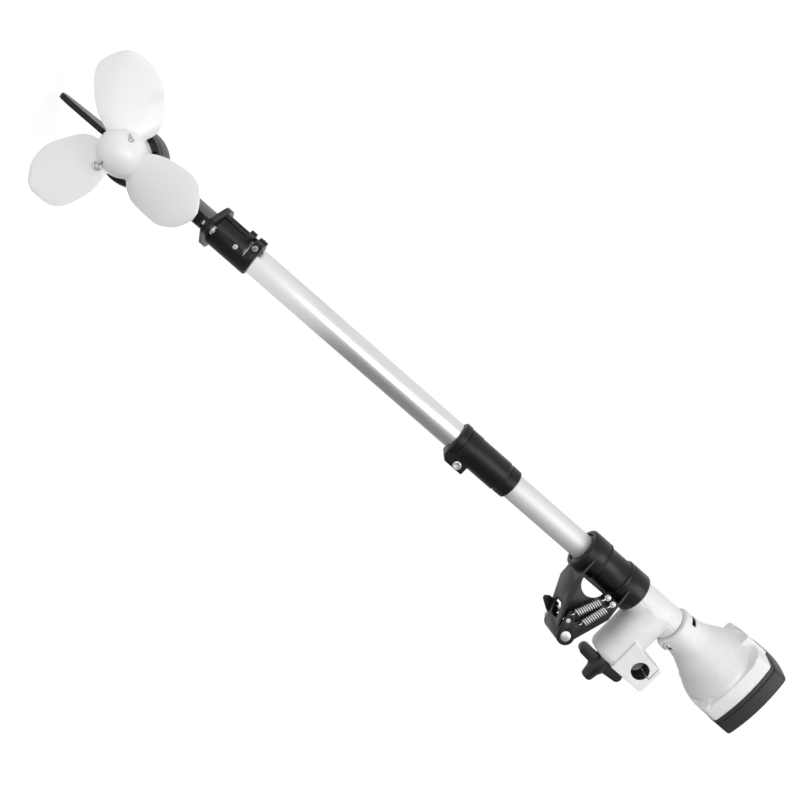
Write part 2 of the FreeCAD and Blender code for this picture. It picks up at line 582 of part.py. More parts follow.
bolts = []
for side in (-1, 1):
    y = side * FLANGE_BOLT_AT
    shank = cyl("z", FLANGE_BOLT_R, LEG_TOP_Z - 3.0, FLANGE_TOP_Z, (0.0, y))
    top = Part.makeCylinder(4.4, 3.6, Vec(0, y, FLANGE_TOP_Z))
    top = top.cut(Part.makeCylinder(2.2, 2.0, Vec(0, y, FLANGE_TOP_Z + 1.6)))
    bolts.append(shank.fuse(top).removeSplitter())
keep("flange_bolts", *bolts, on_leg=True)
nuts = []
for side in (-1, 1):
    corners = []
    for i in range(6):
        a = math.radians(60 * i)
        corners.append(Vec(4.6 * math.cos(a), side * FLANGE_BOLT_AT + 4.6 * math.sin(a), LEG_TOP_Z - 3.2))
    nut = Part.Face(Part.makePolygon(corners + [corners[0]])).extrude(Vec(0, 0, 3.19))
    nuts.append(nut.cut(cyl("z", FLANGE_BOLT_R, -730, -700, (0.0, side * FLANGE_BOLT_AT))))
keep("flange_nuts", *nuts, on_leg=True)

# tubes
for name, r, (a, b) in (("lower_tube", LOWER_TUBE_R, LOWER_TUBE_Z), ("upper_tube", UPPER_TUBE_R, UPPER_TUBE_Z)):
    tube = cyl("z", r, a, b).cut(cyl("z", r - TUBE_WALL, a - 1, b + 1))
    if name == "upper_tube":
        notch = cyl("z", r + 2, ring_top - 1.7, ring_top + 0.1).cut(cyl("z", r - 0.8, -400, 0))
        tube = tube.cut(notch)
    keep(name, tube, on_leg=True)

# coupler
c0, c1 = COUPLER_Z
coupler_profile = [
    (c0, 12.6), (c0, COUPLER_R - 1.0), (c0 + 1.5, COUPLER_R + 0.8), (c0 + 7.4, COUPLER_R + 0.8), (c0 + 7.9, COUPLER_R - 1.0),
    (c0 + 8.9, COUPLER_R - 1.0), (c0 + 9.2, COUPLER_R), (c0 + 22.5, COUPLER_R), (c0 + 23.0, COUPLER_R - 0.5),
    (c1 - 14.5, COUPLER_R - 0.5), (c1 - 14.0, COUPLER_R - 1.0), (c1 - 12.4, COUPLER_R - 1.6), (c1 - 11.6, COUPLER_R - 1.6),
    (c1 - 11.2, COUPLER_R - 1.0), (c1 - 1.2, COUPLER_R - 1.2), (c1, COUPLER_R - 2.2), (c1, 12.6),
]
coupler = turned(coupler_profile)
lug = plate([(8.0, -12.0), (COUPLER_LUG_X, -12.0), (COUPLER_LUG_X, 12.0), (8.0, 12.0)], [0, 4, 4, 0], "xy", *COUPLER_LUG_Z)
lug = lug.cut(plate([(18.0, COUPLER_LUG_Z[0] - 1), (26.0, COUPLER_LUG_Z[0] - 1), (26.0, COUPLER_LUG_Z[0] + 7.0)],
                    [0, 0, 0], "xz", -20, 20))
coupler = coupler.fuse(lug)
coupler = coupler.cut(cyl("z", LOWER_TUBE_R + SLIP, -420, LOWER_TUBE_Z[1]))
coupler = coupler.cut(cyl("z", UPPER_TUBE_R + SLIP, UPPER_TUBE_Z[0], -300))
coupler = coupler.cut(box((10, 30), (-1.0, 1.0), (-420, COUPLER_LUG_Z[1] - 2)))
CLAMP_AT = (19.4, COUPLER_LUG_Z[0] + 17.0)
coupler = coupler.cut(cyl("y", 2.5 + SLIP, -30, 30, CLAMP_AT))
coupler = coupler.cut(cyl("y", 4.5 + SLIP, -30, -9.0, CLAMP_AT))
keep("tube_coupler", coupler.removeSplitter(), on_leg=True)
clamp_screw = cap_screw((CLAMP_AT[0], -9.0, CLAMP_AT[1]), (0, -1, 0), 21.0, 2.5, 4.5, 5.0)
keep("coupler_screw", clamp_screw, on_leg=True)

# tiller head
h0, h1 = HEAD_CLAMP_Z
clamp = turned([(h0, UPPER_TUBE_R + SLIP), (h0, HEAD_CLAMP_R - 0.8), (h0 + 0.8, HEAD_CLAMP_R),
                (h1 - 2.0, HEAD_CLAMP_R), (h1, HEAD_CLAMP_R - 1.5), (h1, UPPER_TUBE_R + SLIP)])
boss = turned([(0.0, 0.0), (0.0, BOSS_R), (BOSS_END_X - 6.0, BOSS_R), (BOSS_END_X - 1.8, BOSS_R - 2.0),
               (BOSS_END_X, BOSS_R - 6.5), (BOSS_END_X, 0.0)], "x", (0.0, 0.0, BOSS_Z))
block = plate([(BLOCK_X[0] - 6.0, BOSS_Z), (BLOCK_X[1], BOSS_Z), (BLOCK_X[1], BLOCK_TOP_Z - 0.6), (BLOCK_X[0], BLOCK_TOP_Z),
               (BLOCK_X[0] - 2.0, BLOCK_TOP_Z - 22.0)], [0, 0, 4.0, 1.0, 5.0], "xz", BLOCK_Y[0], BLOCK_Y[1])
# the block's far side leans in towards its tip
block = block.common(plate([(BLOCK_Y[0] - 1, BOSS_Z - 2), (BLOCK_Y[1], BOSS_Z - 2), (BLOCK_Y[1], -114.0), (-9.8, BLOCK_TOP_Z + 2),
                            (BLOCK_Y[0] - 1, BLOCK_TOP_Z + 2)], [0, 0, 8.0, 0, 0], "yz", 20, 80))
tiller = clamp.fuse([boss, block])
far_lug = plate([(-9.0, 14.0), (9.0, 14.0), (9.0, 27.0), (-9.0, 27.0)], [0, 0, 3, 3], "xy", h0 + 1, h1 - 1)
tiller = tiller.fuse(far_lug)
tiller = tiller.cut(cyl("z", UPPER_TUBE_R + SLIP, -200, -50))
tiller = tiller.cut(cyl("z", HOUSING_R + 1.5, -175, h0)).cut(cyl("z", HOUSING_R + 1.5, h1, -85))
tiller = tiller.cut(box((-0.8, 0.8), (10, 40), (-200, -80)))
tiller = tiller.cut(box((-0.3, 0.3), (-HEAD_CLAMP_R - 2, -HEAD_CLAMP_R + 0.5), (-200, -80)))
bore_at = (TILLER_BORE_X, TILLER_BORE_Z)
tiller = tiller.cut(cyl("y", TILLER_BORE_R, BLOCK_Y[0] - 1, TILLER_BORE_END, bore_at))
drill_point = Part.makeCone(TILLER_BORE_R, 0, TILLER_BORE_R * 0.6, Vec(TILLER_BORE_X, TILLER_BORE_END, TILLER_BORE_Z), Vec(0, 1, 0))
tiller = tiller.cut(drill_point)
slit_z = TILLER_BORE_Z + TILLER_BORE_R + 2.6
tiller = tiller.cut(box((TILLER_BORE_X, TILLER_BORE_X + TILLER_SLIT), (-60, TILLER_BORE_END), (TILLER_BORE_Z, slit_z + TILLER_SLIT)))
tiller = tiller.cut(box((30.0, TILLER_BORE_X + TILLER_SLIT), (-60, TILLER_BORE_END), (slit_z, slit_z + TILLER_SLIT)))
tiller = tiller.cut(cyl("x", WING_STUD_R + SLIP, 33.0, 80.0, (0.0, BOSS_Z)))
head_screw_z = (h0 + 11.0, h1 - 11.0)
for z in head_screw_z:
    tiller = tiller.cut(cyl("x", 2.5 + SLIP, -20, 20, (22.0, z)))
keep("tiller_head", tiller.removeSplitter(), on_leg=True)
keep("tiller_head_screws", *[cap_screw((-9.0, 22.0, z), (-1, 0, 0), 17.5) for z in head_screw_z], on_leg=True)

# wing screw with washer
x0, x1 = WING_X
wings = plate([(x0, BOSS_Z - WING_REACH), (x1 - 2.5, BOSS_Z - WING_REACH), (x1, BOSS_Z), (x1 - 2.5, BOSS_Z + WING_REACH),
               (x0, BOSS_Z + WING_REACH), (x0 + 2.0, BOSS_Z)], [5.4, 5.4, 20, 5.4, 5.4, 30], "xz", -5.0, 5.0)
hub = turned([(x0 - 0.2, 0.0), (x0 - 0.2, 9.5), (x1, 9.5), (x1 + 4.0, 7.5), (WING_HUB_END - 2, 6.2), (WING_HUB_END, 4.5),
              (WING_HUB_END, 0.0)], "x", (0.0, 0.0, BOSS_Z))
stud = cyl("x", WING_STUD_R - RUN, 34.0, x0 + 1, (0.0, BOSS_Z))
keep("wing_screw", wings.fuse([hub, stud]).removeSplitter(), on_leg=True)
washer = cyl("x", 10.5, BOSS_END_X + 0.05, x0 - 0.5, (0.0, BOSS_Z))
keep("wing_screw_washer", washer.cut(cyl("x", WING_STUD_R + 0.2, 60, 80, (0.0, BOSS_Z))), on_leg=True)


# clutch bell, made in the leg's frame
def soft_square(scale):
    side, corner, shoulder = SQUARE_SIDE * scale, SQUARE_CORNER * scale, SQUARE_SHOULDER * scale
    edges = []
    ends = []
    for i in range(4):
        a = math.radians(90 * i)
        c, s = math.cos(a), math.sin(a)
        start = Vec(c * shoulder + s * corner, s * shoulder - c * corner, 0)
        mid = Vec(c * side, s * side, 0)
        end = Vec(c * shoulder - s * corner, s * shoulder + c * corner, 0)
        ends.append((start, mid, end))
    for i in range(4):
        start, mid, end = ends[i]
        edges.append(("arc", start, mid, end))
        after = ends[(i + 1) % 4][0]
        bulge = (end + after) * 0.5 * 1.012
        edges.append(("arc", end, bulge, after))
    return edges


n0, n1 = BELL_NECK_Z
cone = turned([(n0, 0.0), (n0, BELL_NECK_R - 0.8), (n0 + 0.8, BELL_NECK_R), (n1 + 1.0, BELL_NECK_R + 0.3),
               (n1 + 10.0, BELL_NECK_R + 2.6), (n1 + 25.0, 31.5), (n1 + 37.0, 37.4), (BELL_SHOULDER_Z, BELL_MOUTH_R),
               (BELL_MOUTH_Z, 44.0), (BELL_MOUTH_Z, 0.0)])
flange = prism(soft_square(0.985), "xy", BELL_SHOULDER_Z + 4.0, BELL_MOUTH_Z)
bell = cone.common(cyl("z", 60, -200, BELL_SHOULDER_Z + 4.01)).fuse(flange)
bolt_at = BOLT_CIRCLE / 2 * math.sqrt(0.5)
for sx in (-1, 1):
    for sy in (-1, 1):
        bell = bell.fuse(cyl("z", BELL_BOSS_R, BELL_BOSS_Z, BELL_MOUTH_Z, (sx * bolt_at, sy * bolt_at)))
side_lug = plate([(-30.0, -18.0), (-45.4, -18.0), (-45.4, -6.0), (-30.0, -6.0)], [0, 2.5, 2.5, 0], "xy", -47.0, BELL_MOUTH_Z)
bell = bell.fuse(side_lug)
neck_lug = plate([(15.0, -16.0), (22.5, -16.0), (22.5, -2.0), (15.0, -2.0)], [0, 3, 3, 0], "xy", n0 + 0.2, n0 + 7.2)
bell = bell.fuse(neck_lug)
inside = turned([(n1 - 0.6, 0.0), (n1 - 0.6, 11.0), (BEARING_Z[0], 11.0), (BEARING_Z[0], BEARING_R + SLIP),
                 (BEARING_Z[1] + 2.5, BEARING_R + SLIP), (BEARING_Z[1] + 6.0, 19.0), (-50.0, DRUM_R - 3.0),
                 (-47.0, DRUM_R + 1.4), (BELL_MOUTH_Z + 1, DRUM_R + 2.5), (BELL_MOUTH_Z + 1, 0.0)])
bell = bell.cut(inside).cut(cyl("z", UPPER_TUBE_R + SLIP, -200, n1 - 0.5))
clip_groove = cyl("z", BEARING_R + 0.9, BEARING_Z[1] + RUN, BEARING_Z[1] + 1.3)
bell = bell.cut(clip_groove)
# the neck's collar: a groove round it and a window on each side
groove = cyl("z", 60, NECK_GROOVE_Z, NECK_GROOVE_Z + 1.1).cut(cyl("z", BELL_NECK_R - 1.0, -200, 0))
bell = bell.cut(groove)
for side in (-1, 1):
    x_in, x_out = sorted((side * NECK_WINDOW_X, side * 30.0))
    window = box((x_in, x_out), NECK_WINDOW_Y, (n0 + 7.8, NECK_GROOVE_Z - 0.8)).cut(cyl("z", UPPER_TUBE_R + 1.2, -200, 0))
    bell = bell.cut(window)
for sx in (-1, 1):
    for sy in (-1, 1):
        bell = bell.cut(cyl("z", BOLT_HOLE_R - 0.6, BELL_BOSS_Z + 4, 0, (sx * bolt_at, sy * bolt_at)))
neck_screw_z = n0 + 3.8
screw = cap_screw((17.9, -13.4, neck_screw_z), (0, -1, 0), 9.0, 2.0, 3.2, 3.4)
bell = bell.cut(cyl("y", 2.0 + SLIP, -30, -4.3, (17.9, neck_screw_z))).cut(cyl("y", 3.3, -30, -13.4, (17.9, neck_screw_z)))
keep("clutch_bell", bell.removeSplitter(), on_leg=True)
keep("bell_neck_screw", screw, on_leg=True)

bearing = cyl("z", BEARING_R, *BEARING_Z).cut(cyl("z", SHAFT_R + 3.0, -200, 0))
keep("bell_bearing", bearing, on_leg=True)
clip = cyl("z", BEARING_R + 0.8, BEARING_Z[1] + 0.1, BEARING_Z[1] + 1.2)
clip = clip.cut(cyl("z", BEARING_R - 2.2, -200, 0)).cut(box((-4, 4), (0, 30), (-100, 0)))
keep("bell_bearing_clip", clip, on_leg=True)

# engine pad, two layers on the mouth of the bell
layers = []
for scale, a, b in ((0.985, BELL_MOUTH_Z, PAD_JOINT_Z), (1.0, PAD_JOINT_Z, 0.0)):
    layer = prism(soft_square(scale), "xy", a, b).cut(cyl("z", PAD_HOLE_R, -60, 10))
    for sx in (-1, 1):
        for sy in (-1, 1):
            layer = layer.cut(cyl("z", BOLT_HOLE_R, -60, 10, (sx * bolt_at, sy * bolt_at)))
    layers.append(layer)
keep("pad_plate", layers[0], on_leg=True)
keep("engine_pad", layers[1], on_leg=True)

# drive line inside the leg
sleeves = []
for z in SHAFT_BUSH_Z:
    r = (LOWER_TUBE_R if z < LOWER_TUBE_Z[1] else UPPER_TUBE_R) - TUBE_WALL - SLIP
    sleeve = cyl("z", r, z - SHAFT_BUSH_LEN / 2, z + SHAFT_BUSH_LEN / 2)
    sleeves.append(sleeve.cut(cyl("z", SHAFT_R + RUN, -900, 0)))
keep("drive_shaft_bushes", *sleeves, on_leg=True)
keep("pinion_bearings",
     cyl("z", BEARING_SMALL_R - SLIP, -780, -771).cut(cyl("z", SHAFT_R + RUN, -900, 0)),
     cyl("z", BEARING_SMALL_R - SLIP, -728, -719).cut(cyl("z", SHAFT_R + RUN, -900, 0)), on_leg=True)
keep("drive_shaft", cyl("z", SHAFT_R, -794.0, DRUM_Z[0] + 1.0), on_leg=True)
apex = PROP_Z
keep("pinion_gear", turned([(apex + BEVEL_R * 0.7, 0.0), (apex + BEVEL_R * 0.7, PINION_R * 0.7), (apex + BEVEL_R, PINION_R),
                            (apex + BEVEL_R + 2.4, 8.4), (apex + 20.0, 7.0), (apex + 27.5, 7.0), (apex + 27.5, SHAFT_R),
                            (apex + 15.0, SHAFT_R), (apex + 15.0, 0.0)]), on_leg=True)
d0, d1 = DRUM_Z
drum = turned([(BEARING_Z[0] - 1.5, SHAFT_R), (BEARING_Z[0] - 1.5, SHAFT_R + 3.0 - RUN), (d0 - 2, SHAFT_R + 3.0 - RUN),
               (d0, 10.0), (d0, DRUM_R - 2.0), (d0 + 2.0, DRUM_R), (d1, DRUM_R), (d1, DRUM_R - 2.2), (d0 + 2.6, DRUM_R - 2.2),
               (d0 + 2.6, 8.0), (d0 + 4.0, 6.0), (d0 + 4.0, 0.0), (d0 + 1.0, 0.0), (d0 + 1.0, SHAFT_R)])
keep("clutch_drum", drum, on_leg=True)

# propeller shaft, bevel gear and bearings
keep("propeller_bearing",
     Part.makeCylinder(BEARING_SMALL_R - SLIP, 9, Vec(0, 26.5 - 1.0, PROP_Z), Vec(0, -1, 0))
     .cut(Part.makeCylinder(PROP_SHAFT_R + RUN, 60, Vec(0, 30, PROP_Z), Vec(0, -1, 0))), on_leg=True)
hub_dome_d = BLADE_D - 2.0
hub_end = hub_dome_d + HUB_DOME
split_pin_d = hub_end - SPLIT_PIN_BACK
prop_shaft_end = split_pin_d + SHAFT_PAST_PIN
shaft = Part.makeCylinder(PROP_SHAFT_R, prop_shaft_end + 24.5, Vec(0, 24.5, PROP_Z), Vec(0, -1, 0))


def across_hub(shape):
    """Turn a piece made along x to the split pin's direction and place."""
    out = shape.copy()
    out.rotate(Vec(0, 0, 0), Vec(0, 1, 0), SPLIT_PIN_TURN)
    out.translate(Vec(0, -split_pin_d, PROP_Z))
    return out


pin_hole = across_hub(cyl("x", PIN_HOLE_R, -40, 40))
keep("propeller_shaft", shaft.cut(pin_hole), on_leg=True)
cone_in = 0.7
keep("bevel_gear", turned([(-16.5, PROP_SHAFT_R), (-16.5, BEVEL_R + 1.5), (-PINION_R - 2.5, BEVEL_R + 1.5),
                           (-PINION_R - GAP, BEVEL_R), (-PINION_R * cone_in - GAP, BEVEL_R * cone_in),
                           (-PINION_R * cone_in - GAP, PROP_SHAFT_R)], "p", head_at), on_leg=True)

# propeller: hub turned with a closed dome, blades lofted through pitched lens sections
hub_arc = [(hub_dome_d + HUB_DOME * math.sin(math.radians(a)), HUB_R * math.cos(math.radians(a))) for a in range(0, 91, 10)]
hub_curve = Part.BSplineCurve()
hub_curve.interpolate([Vec(r, -d, PROP_Z) for d, r in hub_arc], InitialTangent=Vec(0, -1, 0), FinalTangent=Vec(-1, 0, 0))
hub_base = [Vec(0, -hub_end, PROP_Z), Vec(0, -HUB_BACK_D, PROP_Z), Vec(HUB_R - 1.0, -HUB_BACK_D, PROP_Z),
            Vec(HUB_R, -HUB_BACK_D - 1.0, PROP_Z), Vec(HUB_R, -hub_dome_d, PROP_Z)]
hub_wire = Part.Wire([hub_curve.toShape()] + [Part.makeLine(a, b) for a, b in zip(hub_base, hub_base[1:])])
hub = Part.Face(hub_wire).revolve(Vec(*head_at), Vec(0, -1, 0), 360)


def blade_section(r, low, high, pitch, thick, rake):
    """Lens-shaped section at radius r whose edges stand at low and high across the blade."""
    c, s = math.cos(math.radians(pitch)), math.sin(math.radians(pitch))
    h = (high - low) / 2 / c
    sweep = (low + high) / 2

    def at(along, out):
        u = sweep + along * c - out * s
        d = rake + along * s + out * c
        return Vec(u, -(BLADE_D + d), r)
    suction = Part.Arc(at(-h, 0), at(0, thick), at(h, 0)).toShape()
    face_side = Part.Arc(at(h, 0), at(0, -thick * 0.15), at(-h, 0)).toShape()
    return Part.Wire([suction, face_side])


# radius, both edges, pitch angle, thickness, rake
sections = [
    (14.0, -9.0, 22.0, -25.0, 6.4, 0.0), (24.0, -14.2, 27.5, -23.0, 5.4, 0.4), (36.0, -20.6, 29.5, -20.0, 4.5, 1.4),
    (48.0, -23.0, 31.2, -17.5, 3.7, 3.0), (60.0, -25.3, 31.6, -15.0, 3.0, 4.8), (70.0, -24.0, 27.2, -13.0, 2.4, 6.3),
    (78.0, -17.0, 20.8, -11.5, 2.0, 7.4), (83.5, -9.0, 12.0, -10.5, 1.6, 8.1), (BLADE_TIP, -3.0, 5.5, -10.0, 1.2, 8.5),
]
blade = Part.makeLoft([blade_section(*s) for s in sections], True, False)
blades = []
for i in range(3):
    b = blade.copy()
    b.rotate(Vec(0, 0, 0), Vec(0, -1, 0), PROP_PHASE + 120.0 * i)
    b.translate(Vec(0, 0, PROP_Z))
    blades.append(b)
prop = hub.fuse(blades)
prop = prop.cut(Part.makeCylinder(PROP_SHAFT_R + SLIP, prop_shaft_end + 0.2, Vec(0, 0, PROP_Z), Vec(0, -1, 0)))
prop = prop.cut(pin_hole)
keep("propeller", prop.removeSplitter(), on_leg=True)

# split pin with its eye on one side of the dome and bent legs on the other
dome_r = HUB_R * math.sqrt(1 - ((split_pin_d - hub_dome_d) / HUB_DOME) ** 2)
pin_r = PIN_HOLE_R - SLIP
split_pin = cyl("x", pin_r, -dome_r - 2.6, dome_r + 3.4)
eye_ring = Part.makeTorus(2.9, 1.15, Vec(dome_r + 5.6, 0, 0), Vec(0, 1, 0))
legs = Part.makeCylinder(0.95, 4.6, Vec(-dome_r - 1.6, 0, -0.6), Vec(-0.2, -0.12, -1))
split_pin = split_pin.fuse([eye_ring, legs]).cut(box((-40.0, dome_r - 3.0), (-0.15, 0.15), (-0.01, 5)))
keep("shear_pin", across_hub(split_pin.removeSplitter()), on_leg=True)

os.makedirs("parts", exist_ok=True)
for name, shape in parts.items():
    shape.exportStep("parts/" + name + ".step")
    b = shape.BoundBox
    print(name, len(shape.Solids), shape.isValid(), round(shape.Volume), "X %.1f %.1f Y %.1f %.1f Z %.1f %.1f" % (
        b.XMin, b.XMax, b.YMin, b.YMax, b.ZMin, b.ZMax))
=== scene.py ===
import json
import math

import bpy
from mathutils import Matrix, Vector


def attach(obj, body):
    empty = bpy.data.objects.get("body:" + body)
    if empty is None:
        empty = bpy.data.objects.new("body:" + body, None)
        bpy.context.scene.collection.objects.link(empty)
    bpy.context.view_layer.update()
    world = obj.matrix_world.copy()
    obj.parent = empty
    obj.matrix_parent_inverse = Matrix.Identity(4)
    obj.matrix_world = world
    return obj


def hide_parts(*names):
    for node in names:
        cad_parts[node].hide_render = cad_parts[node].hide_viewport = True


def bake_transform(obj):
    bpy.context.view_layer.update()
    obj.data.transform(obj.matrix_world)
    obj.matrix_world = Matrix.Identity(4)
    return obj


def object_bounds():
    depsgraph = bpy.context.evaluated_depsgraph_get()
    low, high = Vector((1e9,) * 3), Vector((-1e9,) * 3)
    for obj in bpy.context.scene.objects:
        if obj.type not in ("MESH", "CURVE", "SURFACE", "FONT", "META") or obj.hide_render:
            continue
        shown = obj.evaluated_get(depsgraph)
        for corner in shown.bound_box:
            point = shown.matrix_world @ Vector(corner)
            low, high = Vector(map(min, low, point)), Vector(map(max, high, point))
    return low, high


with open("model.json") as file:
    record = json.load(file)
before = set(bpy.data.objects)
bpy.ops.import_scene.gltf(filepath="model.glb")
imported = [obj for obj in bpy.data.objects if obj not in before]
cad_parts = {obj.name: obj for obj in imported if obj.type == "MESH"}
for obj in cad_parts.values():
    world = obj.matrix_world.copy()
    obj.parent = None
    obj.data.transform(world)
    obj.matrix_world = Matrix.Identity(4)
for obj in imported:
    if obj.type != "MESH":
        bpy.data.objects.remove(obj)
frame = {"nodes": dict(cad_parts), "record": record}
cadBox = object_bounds()
mm = 0.001
legTurn = math.radians(8)  # the leg hangs turned in its swivel
mergeWithin = 0.000004
closeWithin = 0.000002
slotOf = {row["node"]: row["material_slot"] for row in frame["record"]["subparts"]}


def bodyOf(nodeName):
    for bodyName, names in frame["record"]["behaviour"]["bodies"].items():
        if nodeName in names:
            return bodyName


def straightened(x, y):
    # x and y as they are before the leg is turned
    return x * math.cos(legTurn) + y * math.sin(legTurn), y * math.cos(legTurn) - x * math.sin(legTurn)


def deselectAll():
    if bpy.context.object and bpy.context.object.mode != "OBJECT":
        bpy.ops.object.mode_set(mode="OBJECT")
    bpy.ops.object.select_all(action="DESELECT")


def pick(*objs):
    deselectAll()
    for o in objs:
        o.select_set(True)
    bpy.context.view_layer.objects.active = objs[-1]


def applyMods(obj):
    pick(obj)
    for mod in list(obj.modifiers):
        bpy.ops.object.modifier_apply(modifier=mod.name)


def settle(obj):
    # place, turn and scale go into the mesh, so that patterns stay put on it
    pick(obj)
    bpy.ops.object.transform_apply(location=True, rotation=True, scale=True)


def turnWithLeg(obj):
    # from the straight leg to where the leg hangs
    obj.matrix_world = Matrix.Rotation(legTurn, 4, "Z") @ obj.matrix_world
    settle(obj)


def smoothBy(obj, degrees):
    pick(obj)
    bpy.ops.object.shade_smooth_by_angle(angle=math.radians(degrees))


def copyOfNode(nodeName):
    # a merged copy of a CAD node, to be softened and finished
    source = frame["nodes"][nodeName]
    piece = source.copy()
    piece.data = source.data.copy()
    piece.name = nodeName + "_finish"
    piece.parent = None
    piece.matrix_world = Matrix.Identity(4)
    piece.data.materials.clear()
    bpy.context.collection.objects.link(piece)
    for key in list(piece.keys()):
        del piece[key]
    piece.hide_render = False
    piece.hide_viewport = False
    pick(piece)
    bpy.ops.object.mode_set(mode="EDIT")
    bpy.ops.mesh.select_all(action="SELECT")
    bpy.ops.mesh.remove_doubles(threshold=mergeWithin)
    bpy.ops.object.mode_set(mode="OBJECT")
    if piece.data.has_custom_normals:
        bpy.ops.mesh.customdata_custom_splitnormals_clear()
    return piece


def finishPiece(piece, nodeName):
    piece.data.materials.clear()
    piece.data.materials.append(ownFinish.get(nodeName, finishes[slotOf[nodeName]]))
    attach(piece, bodyOf(nodeName))
    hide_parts(nodeName)


class Number:
    # a number socket that takes part in sums
    def __init__(self, maker, socket):
        self.maker = maker
        self.socket = socket

    def maths(self, operation, *values):
        node = self.maker.add("ShaderNodeMath", {"operation": operation}, dict(enumerate(values)))
        return Number(self.maker, node.outputs[0])

    def __add__(self, other):
        return self.maths("ADD", self, other)

    def __radd__(self, other):
        return self.maths("ADD", other, self)

    def __sub__(self, other):
        return self.maths("SUBTRACT", self, other)

    def __rsub__(self, other):
        return self.maths("SUBTRACT", other, self)

    def __mul__(self, other):
        return self.maths("MULTIPLY", self, other)

    def __rmul__(self, other):
        return self.maths("MULTIPLY", other, self)

    def root(self):
        return self.maths("SQRT", self)

    def above(self, edge, soft):
        # 0 below the edge, 1 above it, with a soft step
        return self.maker.number("ShaderNodeMapRange", {"interpolation_type": "SMOOTHSTEP"},
                                 {"Value": self, "From Min": edge - soft, "From Max": edge + soft})


class NodeMaker:
    # fills a node tree, one node at a time
    def __init__(self, tree):
        self.tree = tree

    def add(self, kind, settings=None, values=None):
        node = self.tree.nodes.new(kind)
        for key, value in (settings or {}).items():
            setattr(node, key, value)
        for key, value in (values or {}).items():
            self.feed(node.inputs[key], value)
        return node

    def feed(self, socket, value):
        if isinstance(value, Number):
            self.tree.links.new(value.socket, socket)
        elif isinstance(value, bpy.types.NodeSocket):
            self.tree.links.new(value, socket)
        else:
            socket.default_value = value

    def number(self, kind, settings=None, values=None, output=0):
        return Number(self, self.add(kind, settings, values).outputs[output])


class MaterialMaker(NodeMaker):
    def __init__(self, name):
        self.material = bpy.data.materials.new(name)
        self.material.use_nodes = True
        super().__init__(self.material.node_tree)
        self.shader = self.tree.nodes["Principled BSDF"]
        self.place = self.add("ShaderNodeTexCoord").outputs["Object"]

    def noise(self, scale, detail, rough, stretch=None):
        place = self.place
        if stretch:
            place = self.add("ShaderNodeMapping", None, {"Vector": place, "Scale": stretch}).outputs[0]
        return self.number("ShaderNodeTexNoise", None,
                           {"Vector": place, "Scale": scale, "Detail": detail, "Roughness": rough})

    def onStraightLeg(self):
        split = self.add("ShaderNodeSeparateXYZ", None, {0: self.place})
        x, y, z = [Number(self, split.outputs[i]) for i in range(3)]
        return *straightened(x, y), z

    def mixColour(self, factor, first, second):
        node = self.add("ShaderNodeMix", {"data_type": "RGBA"}, {0: factor, 6: first, 7: second})
        return node.outputs[2]

    def bump(self, height, strength, distance):
        values = {"Height": height, "Strength": strength, "Distance": distance}
        return self.add("ShaderNodeBump", None, values).outputs[0]

    def shade(self, values):
        for name, value in values.items():
            self.feed(self.shader.inputs[name], value)
        return self.material


def grey(value):
    return (value, value, value, 1.0)


def glossBlackPaint():
    look = {"colour": 0.004, "rubbed": 0.01, "roughness": 0.22, "patchy": 0.14, "dull": 0.06,
            "coat": 0.06, "coatRoughness": 0.12, "ior": 1.36, "fine": 0.6, "peel": 0.00006}
    m = MaterialMaker("glossBlackPaint")
    patches = m.noise(scale=28, detail=4, rough=0.6)
    peel = m.noise(scale=900, detail=2, rough=0.5)
    fine = m.noise(scale=160, detail=5, rough=0.65)
    rubbed = patches.above(0.6, soft=0.25)
    return m.shade({
        "Base Color": m.mixColour(rubbed, grey(look["colour"]), grey(look["rubbed"])),
        "Roughness": look["roughness"] + look["patchy"] * patches + look["dull"] * fine,
        "Coat Weight": look["coat"],
        "Coat Roughness": look["coatRoughness"],
        "IOR": look["ior"],
        "Normal": m.bump(peel + look["fine"] * fine, strength=0.35, distance=look["peel"]),
    })


def satinBlackPlastic(name, dark, worn, roughness):
    look = {"patchy": 0.12, "grain": 0.00005}
    m = MaterialMaker(name)
    grain = m.noise(scale=1400, detail=2, rough=0.5)
    patches = m.noise(scale=45, detail=4, rough=0.6)
    return m.shade({
        "Base Color": m.mixColour(patches, grey(dark), grey(worn)),
        "Roughness": roughness + look["patchy"] * patches,
        "Normal": m.bump(grain, strength=0.4, distance=look["grain"]),
    })


tillerBore = {"x": 53.5, "z": -106.0, "radius": 9.5, "face": -25.0, "shadeDepth": 28.0, "rim": 2.0}
neckWindow = {"low": -96.9, "high": -89.3, "radius": 20.7}


